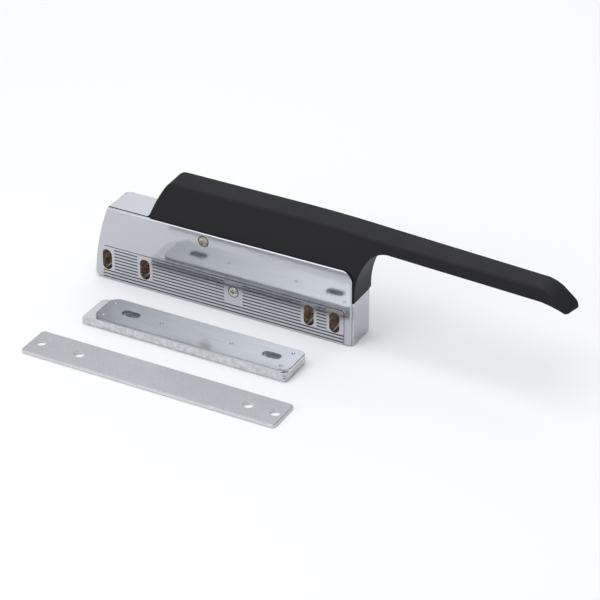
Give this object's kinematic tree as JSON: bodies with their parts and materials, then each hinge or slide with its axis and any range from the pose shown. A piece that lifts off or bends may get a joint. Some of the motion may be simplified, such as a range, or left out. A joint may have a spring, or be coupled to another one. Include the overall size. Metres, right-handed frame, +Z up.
{
  "type": "magnetic door latch set",
  "caption": "Edge-mount magnetic door latch with a lever handle that pushes off its strike, set out with the strike and a flat spacer plate.",
  "frame": {"origin": "centre of the set's box on the surface that it stands on", "axes": "+X along the latch towards the lever tip, +Y towards the door face, +Z up, away from the strike face"},
  "size_m": [0.3552, 0.1386, 0.0845],
  "materials": {
    "body_chrome": "polished chrome",
    "panel_chrome": "polished chrome, ribbed panel",
    "black_casting": "satin black coating",
    "screw_steel": "plain steel",
    "pin_steel": "dull plated steel",
    "spring_steel": "spring steel",
    "bronze": "sintered bronze",
    "white_plastic": "natural acetal",
    "carrier_plastic": "moulded plastic",
    "black_rubber": "rubber",
    "magnet_ceramic": "ceramic magnet",
    "pole_steel": "bright mild steel",
    "strike_side": "plated steel",
    "strike_brushed": "brushed lengthways",
    "spacer_zinc": "frosted zinc plate"
  },
  "bodies": {
    "root": {"housing": "body_chrome", "cover_plate": "panel_chrome", "cover_screws": "screw_steel", "magnet_screw": "screw_steel", "pivot_pin": "pin_steel", "plunger_guide": "bronze", "plunger_spring": "spring_steel", "magnet_carrier": "carrier_plastic", "magnet_left": "magnet_ceramic", "magnet_right": "magnet_ceramic", "pole_plate_front": "pole_steel", "pole_plate_rear": "pole_steel", "strike_shim": "strike_side", "strike_base": "strike_side", "strike_plate": "strike_brushed", "strike_rivets": "pin_steel", "spacer_plate": "spacer_zinc"},
    "handle": {"handle": "black_casting", "nose_pad": "white_plastic", "heel_bumper": "black_rubber", "pivot_bush_front": "bronze", "pivot_bush_rear": "bronze"},
    "plunger": {"release_plunger": "screw_steel", "plunger_tip": "white_plastic", "plunger_clip": "spring_steel"}
  },
  "joints": [
    {"name": "handle_lift", "type": "hinge", "parent": "root", "child": "handle", "pos_m": [-0.0892, 0.05465, 0.051], "axis": [0, -1, 0], "range_deg": [0, 10]},
    {"name": "plunger_push", "type": "slide", "parent": "root", "child": "plunger", "axis": [0, 0, -1], "range_m": [0, 0.00525], "stiffness_N_per_m": 800, "springref_m": -0.006, "deforming": ["plunger_spring"]}
  ],
  "couplings": [
    {"joint": "plunger_push", "follows": "handle_lift", "m_per_rad": 0.03}
  ]
}
